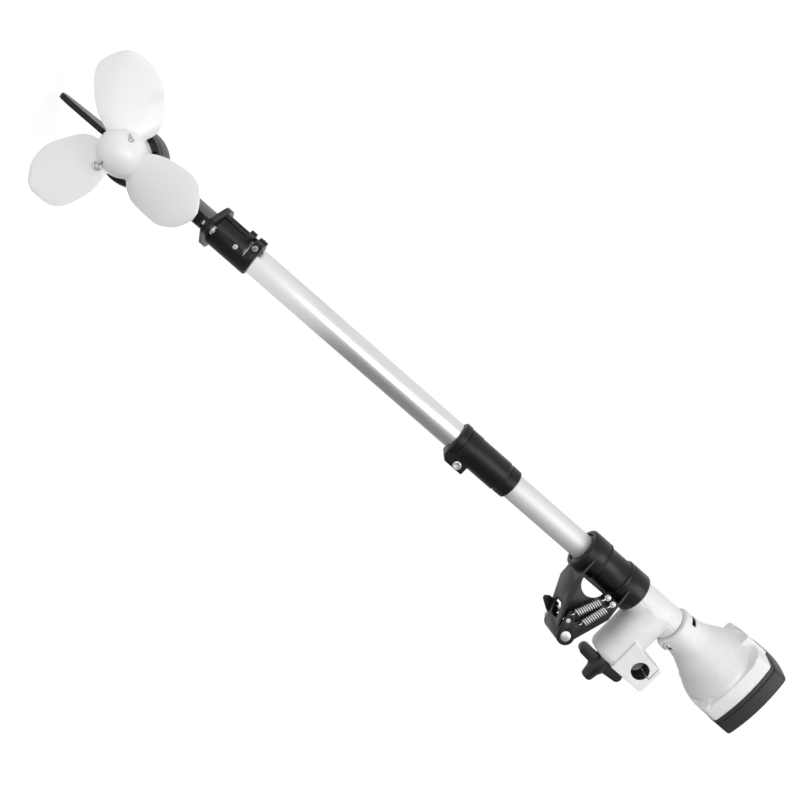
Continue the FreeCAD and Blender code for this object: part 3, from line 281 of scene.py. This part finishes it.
def sandCastAlloy(name, bore=None, window=None):
    # bore is a drilled hole across the leg, and window the openings in the neck's collar; both insides get
    # painted shade
    look = {"pale": 0.91, "dull": 0.8, "metal": 0.25, "roughness": 0.56, "cloudy": 0.14, "skinned": 0.05,
            "skin": 0.6, "pits": 0.4, "grain": 0.0002,
            "boreShade": 0.2, "boreMetal": 0.95, "boreSmooth": 0.26, "windowShade": 0.03,
            "beside": 0.0003, "behind": 0.0006, "crisp": 0.0002, "fade": 0.0005}
    m = MaterialMaker(name)
    cloud = m.noise(scale=34, detail=5, rough=0.62)
    skin = m.noise(scale=420, detail=4, rough=0.7)
    pits = m.noise(scale=1100, detail=2, rough=0.55)
    pale = cloud.above(0.52, soft=0.22) * 0.8 + 0.2 * skin
    colour = m.mixColour(pale, grey(look["dull"]), grey(look["pale"]))
    metal = look["metal"]
    roughness = look["roughness"] + look["cloudy"] * cloud + look["skinned"] * skin
    if bore:
        # inside the hole the skin is cut away to bare machined metal, and its colour is darkened to a set
        # depth as painted shade of the recess
        x, y, z = m.onStraightLeg()
        side = x - bore["x"] * mm
        height = z - bore["z"] * mm
        out = (side * side + height * height).root()
        depth = y - bore["face"] * mm
        inside = 1 - out.above(bore["radius"] * mm + look["beside"], look["crisp"])
        inside = inside * depth.above(look["behind"], look["behind"])
        inside = inside * (1 - depth.above(bore["shadeDepth"] * mm, look["fade"]))
        colour = m.mixColour(inside, colour, grey(look["boreShade"]))
        metal = look["metal"] + (look["boreMetal"] - look["metal"]) * inside
        roughness = roughness - look["boreSmooth"] * inside
    if window:
        # painted shade: the surfaces inside the collar's windows are coloured near black
        x, y, z = m.onStraightLeg()
        out = (x * x + y * y).root()
        inside = 1 - out.above(window["radius"] * mm, look["beside"])
        inside = inside * z.above(window["low"] * mm, look["crisp"])
        inside = inside * (1 - z.above(window["high"] * mm, look["crisp"]))
        colour = m.mixColour(inside, colour, grey(look["windowShade"]))
    return m.shade({
        "Base Color": colour,
        "Metallic": metal,
        "Roughness": roughness,
        "Normal": m.bump(look["skin"] * skin + look["pits"] * pits, strength=0.5, distance=look["grain"]),
    })


def drawnTube(name, colour, metal, roughness, brush):
    look = {"banding": 0.05, "grain": 0.00001}
    m = MaterialMaker(name)
    lines = m.noise(scale=1.0, detail=3, rough=0.5, stretch=(900, 900, 5))
    bands = m.noise(scale=1.0, detail=3, rough=0.5, stretch=(60, 60, 4))
    return m.shade({
        "Base Color": m.mixColour(bands, grey(colour - look["banding"]), grey(colour)),
        "Metallic": metal,
        "Roughness": roughness + brush * lines + look["banding"] * bands,
        "Normal": m.bump(lines, strength=0.15, distance=look["grain"]),
    })


def zincSteel():
    look = {"dark": 0.44, "bright": 0.58, "roughness": 0.24, "uneven": 0.14, "grain": 0.00004}
    m = MaterialMaker("zincSteel")
    grain = m.noise(scale=500, detail=4, rough=0.6)
    cloud = m.noise(scale=90, detail=3, rough=0.5)
    return m.shade({
        "Base Color": m.mixColour(cloud, grey(look["dark"]), grey(look["bright"])),
        "Metallic": 1.0,
        "Roughness": look["roughness"] + look["uneven"] * grain,
        "Normal": m.bump(grain, strength=0.2, distance=look["grain"]),
    })


def turnedSteel():
    look = {"dark": 0.55, "bright": 0.7, "roughness": 0.18, "uneven": 0.12, "grain": 0.00003}
    m = MaterialMaker("turnedSteel")
    grain = m.noise(scale=700, detail=3, rough=0.6)
    return m.shade({
        "Base Color": m.mixColour(grain, grey(look["dark"]), grey(look["bright"])),
        "Metallic": 1.0,
        "Roughness": look["roughness"] + look["uneven"] * grain,
        "Normal": m.bump(grain, strength=0.15, distance=look["grain"]),
    })


def glossWhitePlastic():
    look = {"shade": (0.9, 0.905, 0.91, 1), "pale": (0.93, 0.932, 0.936, 1), "roughness": 0.2, "uneven": 0.08,
            "coat": 0.4, "coatRoughness": 0.08, "fine": 0.15, "flow": 0.0002}
    m = MaterialMaker("glossWhitePlastic")
    flow = m.noise(scale=16, detail=4, rough=0.55)
    fine = m.noise(scale=300, detail=3, rough=0.5)
    return m.shade({
        "Base Color": m.mixColour(flow, look["shade"], look["pale"]),
        "Roughness": look["roughness"] + look["uneven"] * flow,
        "Coat Weight": look["coat"],
        "Coat Roughness": look["coatRoughness"],
        "Normal": m.bump(flow + look["fine"] * fine, strength=0.3, distance=look["flow"]),
    })


def naturalNylon():
    look = {"shade": (0.62, 0.6, 0.53, 1), "pale": (0.7, 0.68, 0.6, 1), "roughness": 0.45, "uneven": 0.1,
            "flow": 0.0001}
    m = MaterialMaker("naturalNylon")
    flow = m.noise(scale=60, detail=3, rough=0.5)
    return m.shade({
        "Base Color": m.mixColour(flow, look["shade"], look["pale"]),
        "Roughness": look["roughness"] + look["uneven"] * flow,
        "Normal": m.bump(flow, strength=0.2, distance=look["flow"]),
    })


def sealRubber():
    look = {"dark": 0.012, "pale": 0.022, "roughness": 0.6, "uneven": 0.1, "grain": 0.00005}
    m = MaterialMaker("sealRubber")
    grain = m.noise(scale=900, detail=3, rough=0.5)
    return m.shade({
        "Base Color": m.mixColour(grain, grey(look["dark"]), grey(look["pale"])),
        "Roughness": look["roughness"] + look["uneven"] * grain,
        "Normal": m.bump(grain, strength=0.3, distance=look["grain"]),
    })


finishes = {
    "black_paint": glossBlackPaint(),
    "black_plastic": satinBlackPlastic("satinBlackPlastic", dark=0.012, worn=0.026, roughness=0.42),
    "cast_alloy": sandCastAlloy("sandCastAlloy"),
    "lower_alloy_tube": drawnTube("polishedTube", colour=0.86, metal=1.0, roughness=0.17, brush=0.1),
    "upper_alloy_tube": drawnTube("satinTube", colour=0.8, metal=0.55, roughness=0.5, brush=0.12),
    "zinc_steel": zincSteel(),
    "nylon": naturalNylon(),
    "seal_rubber": sealRubber(),
    "white_plastic": glossWhitePlastic(),
}
springSteel = turnedSteel()
# pieces whose finish differs from the rest of their slot
ownFinish = {
    "wing_screw": satinBlackPlastic("glossBlackPlastic", dark=0.003, worn=0.008, roughness=0.28),
    "clutch_bell": sandCastAlloy("collaredAlloy", window=neckWindow),
    "tiller_head": sandCastAlloy("boredAlloy", bore=tillerBore),
}

for nodeName, node in frame["nodes"].items():
    node.data.materials.clear()
    node.data.materials.append(finishes[slotOf[nodeName]])
print("materials: finishes on all CAD nodes")

plateEdges = {"flatWithin": 0.4, "segments": 2, "sharperThan": 28, "smoothBelow": 32}


def roundedPlate(nodeName, width):
    # machined or folded piece: its sharp edges are broken by a small bevel
    piece = copyOfNode(nodeName)
    pick(piece)
    bpy.ops.object.mode_set(mode="EDIT")
    bpy.ops.mesh.select_all(action="SELECT")
    bpy.ops.mesh.dissolve_limited(angle_limit=math.radians(plateEdges["flatWithin"]))
    bpy.ops.object.mode_set(mode="OBJECT")
    bevel = piece.modifiers.new("edges", "BEVEL")
    bevel.width = width
    bevel.segments = plateEdges["segments"]
    bevel.limit_method = "ANGLE"
    bevel.angle_limit = math.radians(plateEdges["sharperThan"])
    applyMods(piece)
    smoothBy(piece, plateEdges["smoothBelow"])
    finishPiece(piece, nodeName)


# how wide the broken edges are, in millimetres
plates = {
    "swivel_arm": 0.45, "hinge_barrel": 0.4, "latch_arm": 0.35, "latch_hook": 0.35, "hinge_pin": 0.35,
    "swivel_housing": 0.5, "tube_coupler": 0.45, "tube_socket": 0.45, "gear_head_cover": 0.4,
    "wing_screw": 0.9, "engine_pad": 0.9, "pad_plate": 0.4, "lower_tube": 0.25, "upper_tube": 0.25,
    "coupler_screw": 0.25, "tiller_head_screws": 0.25, "socket_screws": 0.2, "bell_neck_screw": 0.2,
    "flange_bolts": 0.25, "flange_nuts": 0.25, "spring_studs": 0.2, "shear_pin": 0.15,
}
for nodeName, width in plates.items():
    roundedPlate(nodeName, width * mm)
print("edges: bevelled", len(plates), "pieces")


def onStraightLeg(point):
    # in millimetres
    return *straightened(point.x / mm, point.y / mm), point.z / mm


def cutOnLeg(piece, x, y, z):
    # a slot cut through the piece, given in millimetres on the straight leg
    deselectAll()
    middle = [sum(side) / 2 * mm for side in (x, y, z)]
    bpy.ops.mesh.primitive_cube_add(size=1, location=middle)
    cutter = bpy.context.object
    cutter.scale = [(side[1] - side[0]) * mm for side in (x, y, z)]
    settle(cutter)
    turnWithLeg(cutter)
    cut = piece.modifiers.new("slot", "BOOLEAN")
    cut.operation = "DIFFERENCE"
    cut.solver = "EXACT"
    cut.object = cutter
    applyMods(piece)
    bpy.data.objects.remove(cutter)


castingSkin = {"soften": 0.5, "mostTriangles": 190000}


def softCasting(nodeName, voxel, rounds, machined=None, slots=()):
    # cast piece: the mould leaves every edge and corner round, apart from what is machined afterwards
    piece = copyOfNode(nodeName)
    for slot in slots:
        cutOnLeg(piece, *slot)
    remesh = piece.modifiers.new("skin", "REMESH")
    remesh.mode = "VOXEL"
    remesh.voxel_size = voxel * mm
    applyMods(piece)
    soften = piece.modifiers.new("soften", "SMOOTH")
    soften.factor = castingSkin["soften"]
    soften.iterations = rounds
    if machined:
        cast = piece.vertex_groups.new(name="cast")
        rough = [v.index for v in piece.data.vertices if not machined(*onStraightLeg(v.co))]
        cast.add(rough, 1.0, "REPLACE")
        soften.vertex_group = "cast"
    applyMods(piece)
    triangles = len(piece.data.polygons) * 2
    if triangles > castingSkin["mostTriangles"]:
        thin = piece.modifiers.new("thin", "DECIMATE")
        thin.ratio = castingSkin["mostTriangles"] / triangles
        applyMods(piece)
    pick(piece)
    bpy.ops.object.shade_smooth()
    finishPiece(piece, nodeName)


def machinedHead(x, y, z):
    # the tiller bore, its clamp slit and the split of the tube clamp stay sharp
    slit = {"front": -2, "height": -93.9, "from": 44.0, "downAt": 54.0, "low": -107, "high": -92, "near": 2.6}
    split = {"front": -12, "near": 1.6}
    atBore = math.hypot(x - tillerBore["x"], z - tillerBore["z"]) < tillerBore["radius"] + tillerBore["rim"]
    alongSlit = x > slit["from"] and abs(z - slit["height"]) < slit["near"]
    downSlit = abs(x - slit["downAt"]) < slit["near"] and slit["low"] < z < slit["high"]
    atSplit = abs(x) < split["near"] and y < split["front"]
    return y < slit["front"] and (atBore or alongSlit or downSlit or atSplit)


def machinedNeck(x, y, z):
    # the collar's groove and the windows beside it
    collar = {"low": -98.5, "high": -88, "radius": 24}
    return collar["low"] < z < collar["high"] and math.hypot(x, y) < collar["radius"]


tubeSplit = ((-0.45, 0.45), (-30.0, -15.2), (-158.0, -100.0))  # where the head's tube clamp is sawn open
castings = {
    "clutch_bell": {"voxel": 0.62, "rounds": 6, "machined": machinedNeck},
    "tiller_head": {"voxel": 0.42, "rounds": 12, "machined": machinedHead, "slots": [tubeSplit]},
    "leg_casting": {"voxel": 0.8, "rounds": 5},
}
for nodeName, settings in castings.items():
    softCasting(nodeName, **settings)
print("castings: softened", len(castings))


def shapedGrid(name, around, along, place):
    # a grid rolled up into a closed skin: place gives each point, turn and row running from 0 to 1
    deselectAll()
    bpy.ops.mesh.primitive_grid_add(x_subdivisions=around, y_subdivisions=along, size=1)
    skin = bpy.context.object
    skin.name = name
    for v in skin.data.vertices:
        v.co = place(v.co.x + 0.5, v.co.y + 0.5)
    bpy.ops.object.mode_set(mode="EDIT")
    bpy.ops.mesh.select_all(action="SELECT")
    bpy.ops.mesh.remove_doubles(threshold=closeWithin)
    bpy.ops.mesh.fill_holes(sides=0)
    bpy.ops.mesh.normals_make_consistent(inside=False)
    bpy.ops.object.mode_set(mode="OBJECT")
    return skin


def alongCurve(rows, at):
    # smooth values between the rows, whose first column runs upward
    last = len(rows) - 1
    i = min(last - 1, max(0, sum(row[0] <= at for row in rows) - 1))
    before, low, high, after = [rows[min(last, max(0, i + step))] for step in (-1, 0, 1, 2)]
    span = high[0] - low[0]
    t = min(1.0, max(0.0, (at - low[0]) / span))
    values = []
    for column in range(1, len(low)):
        leave = (high[column] - before[column]) / (high[0] - before[0]) * span
        arrive = (after[column] - low[column]) / (after[0] - low[0]) * span
        values.append((2 * t**3 - 3 * t**2 + 1) * low[column] + (t**3 - 2 * t**2 + t) * leave
                      + (3 * t**2 - 2 * t**3) * high[column] + (t**3 - t**2) * arrive)
    return values


def mouldedPropeller():
    # three swept blades that run into a turned hub through soft roots, in millimetres and degrees
    settings = {
        "axleHeight": -809.0, "phase": 1.5,
        "hubRadius": 22.2, "hubBack": 27.2, "hubEdge": 1.8, "domeAt": 43.0, "dome": 24.0, "hubAround": 96,
        "bladeAt": 45.0, "edge": 0.5, "root": 3.2, "inner": 5.0, "tip": 85.6, "around": 72, "rows": 84,
        "crown": 0.425, "belly": 0.575, "rootByDome": 0.3, "smoothBelow": 38,
    }
    sections = [  # radius, both edges, pitch, thickness, rake
        (5.0, -6.0, 13.0, -27.0, 6.4, 0.0), (14.0, -11.0, 17.0, -25.0, 6.0, 0.0),
        (20.0, -15.0, 24.0, -24.0, 5.6, 0.2), (28.0, -20.0, 29.0, -22.0, 4.9, 0.7),
        (37.0, -23.6, 30.6, -19.8, 4.3, 1.5), (48.0, -25.6, 31.0, -17.5, 3.7, 3.0),
        (60.0, -26.6, 30.4, -15.0, 3.0, 4.8), (70.0, -24.4, 25.6, -13.0, 2.4, 6.3),
        (77.5, -17.8, 19.4, -11.5, 2.0, 7.4), (82.6, -9.8, 11.4, -10.5, 1.6, 8.1),
        (85.6, -3.2, 5.0, -10.0, 0.9, 8.5),
    ]
    full, edge = settings["hubRadius"], settings["hubEdge"]
    domeDepth = settings["domeAt"] - settings["hubBack"]
    hubProfile = [(0.0, 0.0), (12.0, 0.0), (full - edge, 0.0)]
    for degrees in (15, 35, 55, 75, 90):
        a = math.radians(degrees)
        hubProfile.append((full - edge + edge * math.sin(a), edge - edge * math.cos(a)))
    hubProfile += [(full, 6.0), (full, 11.0)]
    for degrees in range(0, 91, 5):
        a = math.radians(degrees)
        hubProfile.append((full * math.cos(a), domeDepth + settings["dome"] * math.sin(a)))

    def hubRadiusAt(depth):
        past = (depth - settings["domeAt"]) / settings["dome"]
        return settings["hubRadius"] * math.sqrt(max(0.0, 1 - max(0.0, past) ** 2))

    def hubPoint(turn, row):
        radius, depth = hubProfile[round(row * (len(hubProfile) - 1))]
        a = 2 * math.pi * turn
        return Vector((radius * math.cos(a), -(settings["hubBack"] + depth), radius * math.sin(a))) * mm

    def bladePoint(turn, row):
        radius = settings["inner"] + (settings["tip"] - settings["inner"]) * row
        low, high, pitch, thick, rake = alongCurve(sections, radius)
        pitch = math.radians(pitch)
        a = 2 * math.pi * turn
        half = (high - low) / 2 / math.cos(pitch)

        def at(grow):
            chord = (half + grow) * math.cos(a)
            out = settings["crown"] * thick * math.sin(a) ** 2
            out += settings["belly"] * thick * math.sin(a) * abs(math.sin(a))
            out += (settings["edge"] + grow) * math.sin(a)
            return ((low + high) / 2 + chord * math.cos(pitch) - out * math.sin(pitch),
                    settings["bladeAt"] + rake + chord * math.sin(pitch) + out * math.cos(pitch))

        # near the hub the skin swells into the root, less on the dome's side
        across, depth = at(0.0)
        clear = math.hypot(across, radius) - hubRadiusAt(depth)
        byDome = settings["rootByDome"]
        flare = settings["root"] * (byDome + (1 - byDome) * max(0.0, -math.sin(a)))
        short = max(0.0, flare - max(0.0, clear))
        grow = flare - math.sqrt(max(0.0, flare**2 - short**2))
        across, depth = at(grow)
        return Vector((across, -depth, radius)) * mm

    propeller = shapedGrid("propeller_finish", settings["hubAround"], len(hubProfile) - 1, hubPoint)
    blade = shapedGrid("blade", settings["around"], settings["rows"], bladePoint)
    for i in range(3):
        turned = blade.copy()
        turned.data = blade.data.copy()
        bpy.context.collection.objects.link(turned)
        angle = math.radians(settings["phase"] + 120 * i)
        turned.matrix_world = Matrix.Rotation(angle, 4, Vector((0, -1, 0)))
        settle(turned)
        union = propeller.modifiers.new("blade", "BOOLEAN")
        union.operation = "UNION"
        union.solver = "EXACT"
        union.object = turned
        applyMods(propeller)
        bpy.data.objects.remove(turned)
    bpy.data.objects.remove(blade)
    propeller.location = (0, 0, settings["axleHeight"] * mm)
    settle(propeller)
    turnWithLeg(propeller)
    smoothBy(propeller, settings["smoothBelow"])
    finishPiece(propeller, "propeller")
    print("propeller: moulded", len(propeller.data.polygons))


mouldedPropeller()


def wire(points, radius, name):
    # bent wire through the given points
    deselectAll()
    bpy.ops.curve.primitive_bezier_curve_add(location=(0, 0, 0))
    line = bpy.context.object
    line.name = name
    spline = line.data.splines[0]
    spline.bezier_points.add(len(points) - 2)
    for knot, place in zip(spline.bezier_points, points):
        knot.co = place
        knot.handle_left_type = "AUTO"
        knot.handle_right_type = "AUTO"
    line.data.dimensions = "3D"
    line.data.bevel_depth = radius
    line.data.bevel_resolution = 3
    line.data.resolution_u = 8
    line.data.use_fill_caps = True
    bpy.ops.object.convert(target="MESH")
    return bpy.context.object


def coilSpring(nodeName, stud, tab):
    # tension spring, with a ring round its stud and a hook through the latch's tab
    settings = {"coilRadius": 3.45, "wire": 0.86, "pitch": 2.36, "turns": 11, "steps": 32, "plane": -29.2,
                "tail": 4.3, "ring": 2.5, "ringSteps": 28, "wireSteps": 10, "hook": 5.6, "smoothBelow": 60}
    a = Vector((stud[0], settings["plane"], stud[1])) * mm
    b = Vector((tab[0], settings["plane"], tab[1])) * mm
    way = (b - a).normalized()
    body = settings["pitch"] * settings["turns"] * mm
    start = b - way * (settings["tail"] * mm + body)
    deselectAll()
    bpy.ops.mesh.primitive_circle_add(
        vertices=settings["wireSteps"], radius=settings["wire"] * mm,
        location=(settings["coilRadius"] * mm, 0, 0), rotation=(math.pi / 2, 0, 0))
    coil = bpy.context.object
    coil.name = nodeName + "_coil"
    settle(coil)
    screw = coil.modifiers.new("coils", "SCREW")
    screw.axis = "Z"
    screw.screw_offset = settings["pitch"] * mm
    screw.iterations = settings["turns"]
    screw.steps = settings["steps"]
    screw.render_steps = settings["steps"]
    screw.use_merge_vertices = False
    applyMods(coil)
    pick(coil)
    bpy.ops.object.mode_set(mode="EDIT")
    bpy.ops.mesh.select_all(action="SELECT")
    bpy.ops.mesh.fill_holes(sides=0)
    bpy.ops.mesh.normals_make_consistent(inside=False)
    bpy.ops.object.mode_set(mode="OBJECT")
    bpy.ops.object.shade_smooth()
    turn = way.to_track_quat("Z", "Y").to_matrix().to_4x4()
    coil.matrix_world = Matrix.Translation(start) @ turn
    settle(coil)
    side = turn.to_3x3() @ Vector((settings["coilRadius"] * mm, 0, 0))
    deselectAll()
    bpy.ops.mesh.primitive_torus_add(
        major_radius=settings["ring"] * mm, major_segments=settings["ringSteps"],
        minor_radius=settings["wire"] * mm, minor_segments=settings["wireSteps"],
        location=a, rotation=(math.pi / 2, 0, 0))
    ring = bpy.context.object
    settle(ring)
    bpy.ops.object.shade_smooth()
    leadPoints = [a + way * settings["ring"] * mm, start - way * 2.2 * mm,
                  start + side * 0.7 - way * 0.4 * mm, start + side]
    lead = wire(leadPoints, settings["wire"] * mm, "lead")
    end = start + way * body
    tailPoints = [end + side, end + side * 0.6 + way * 0.8 * mm, b - way * 1.5 * mm,
                  b + way * 0.2 * mm + Vector((0, 1.2, 0)) * mm, b + Vector((0, settings["hook"], 0)) * mm]
    tail = wire(tailPoints, settings["wire"] * mm, "tail")
    pick(ring, lead, tail, coil)
    bpy.ops.object.join()
    spring = bpy.context.object
    settle(spring)
    smoothBy(spring, settings["smoothBelow"])
    spring.data.materials.clear()
    spring.data.materials.append(springSteel)
    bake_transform(spring)
    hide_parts(nodeName)


coilSpring("lower_latch_spring", (21.5, -188.7), (57.0, -205.0))
coilSpring("upper_latch_spring", (23.4, -180.5), (60.0, -192.6))
print("springs: coiled")

studio = {
    "floorDrop": 0.012, "floorSize": 14.0, "floorShades": (0.86, 0.88),
    "floorGlow": 0.55, "floorInGloss": 0.45,
    "worldDark": 0.14, "worldBright": 0.74, "darkAt": 0.9, "brightAt": -0.3, "worldInGloss": 0.12,
    "aim": (0, 0, -0.45),
    "eye": (0.00907, -0.8326, -0.5659), "lens": 38.25,
    "ahead": (0.0, 0.99357, 0.1132), "across": (-0.6574, -0.0853, 0.74866),
}
lamps = {
    "keyBox": {"place": (-0.42, -2.55, -0.4), "size": (1.7, 2.6), "watts": 18.2},
    "topBox": {"place": (-0.9, -1.9, 1.5), "size": (1.6, 1.6), "watts": 20},
}


def makeFloor():
    deselectAll()
    lowest = cadBox[0][2] - studio["floorDrop"]
    bpy.ops.mesh.primitive_plane_add(size=studio["floorSize"], location=(0, 0, lowest))
    floor = bpy.context.object
    floor.name = "paleFloor"
    m = MaterialMaker("paleFloor")
    tint = m.noise(scale=2.0, detail=2, rough=0.5)
    shades = [grey(value) for value in studio["floorShades"]]
    m.shade({"Base Color": m.mixColour(tint, *shades), "Roughness": 0.9})
    path = m.add("ShaderNodeLightPath")
    camera = Number(m, path.outputs["Is Camera Ray"])
    gloss = Number(m, path.outputs["Is Glossy Ray"])
    strength = (camera + studio["floorInGloss"] * gloss) * studio["floorGlow"]
    glow = m.add("ShaderNodeEmission", None, {"Color": grey(1), "Strength": strength})
    both = m.add("ShaderNodeAddShader", None, {0: m.shader.outputs[0], 1: glow.outputs[0]})
    m.feed(m.tree.nodes["Material Output"].inputs["Surface"], both.outputs[0])
    floor.data.materials.append(m.material)


def makeWorld():
    # seen white by the camera, and lit from one side
    world = bpy.data.worlds.new("paleStudio")
    bpy.context.scene.world = world
    world.use_nodes = True
    world.node_tree.nodes.clear()
    m = NodeMaker(world.node_tree)
    place = m.add("ShaderNodeTexCoord").outputs["Generated"]
    across = m.add("ShaderNodeSeparateXYZ", None, {0: place}).outputs["X"]
    ramp = m.number("ShaderNodeMapRange", {"interpolation_type": "SMOOTHSTEP"},
                    {"Value": across, "From Min": studio["darkAt"], "From Max": studio["brightAt"],
                     "To Min": studio["worldDark"], "To Max": studio["worldBright"]})
    path = m.add("ShaderNodeLightPath")
    gloss = Number(m, path.outputs["Is Glossy Ray"])
    strength = studio["worldInGloss"] * gloss + ramp
    light = m.add("ShaderNodeBackground", None, {"Color": grey(1), "Strength": strength})
    backdrop = m.add("ShaderNodeBackground", None, {"Color": grey(1), "Strength": 1.0})
    mix = m.add("ShaderNodeMixShader", None,
                {0: path.outputs["Is Camera Ray"], 1: light.outputs[0], 2: backdrop.outputs[0]})
    m.add("ShaderNodeOutputWorld", None, {"Surface": mix.outputs[0]})


def makeLamp(name, place, size, watts):
    deselectAll()
    bpy.ops.object.light_add(type="AREA", location=place)
    lamp = bpy.context.object
    lamp.name = name
    lamp.data.shape = "RECTANGLE"
    lamp.data.size, lamp.data.size_y = size
    lamp.data.energy = watts
    lamp.rotation_euler = (Vector(studio["aim"]) - Vector(place)).to_track_quat("-Z", "Y").to_euler()


def makeCamera():
    deselectAll()
    bpy.ops.object.camera_add(location=studio["eye"])
    camera = bpy.context.object
    camera.name = "photoCamera"
    camera.data.lens = studio["lens"]
    camera.data.sensor_width = 36.0
    camera.data.clip_start = 0.01
    back = -Vector(studio["ahead"]).normalized()
    right = Vector(studio["across"]).normalized()
    up = back.cross(right)
    turn = Matrix((right, up, back)).transposed()
    camera.rotation_euler = turn.to_euler()
    bpy.context.scene.camera = camera


makeFloor()
makeWorld()
for name, lamp in lamps.items():
    makeLamp(name, **lamp)
makeCamera()
bpy.context.scene.view_settings.view_transform = "Standard"
print("studio: floor, world, lamps and camera")
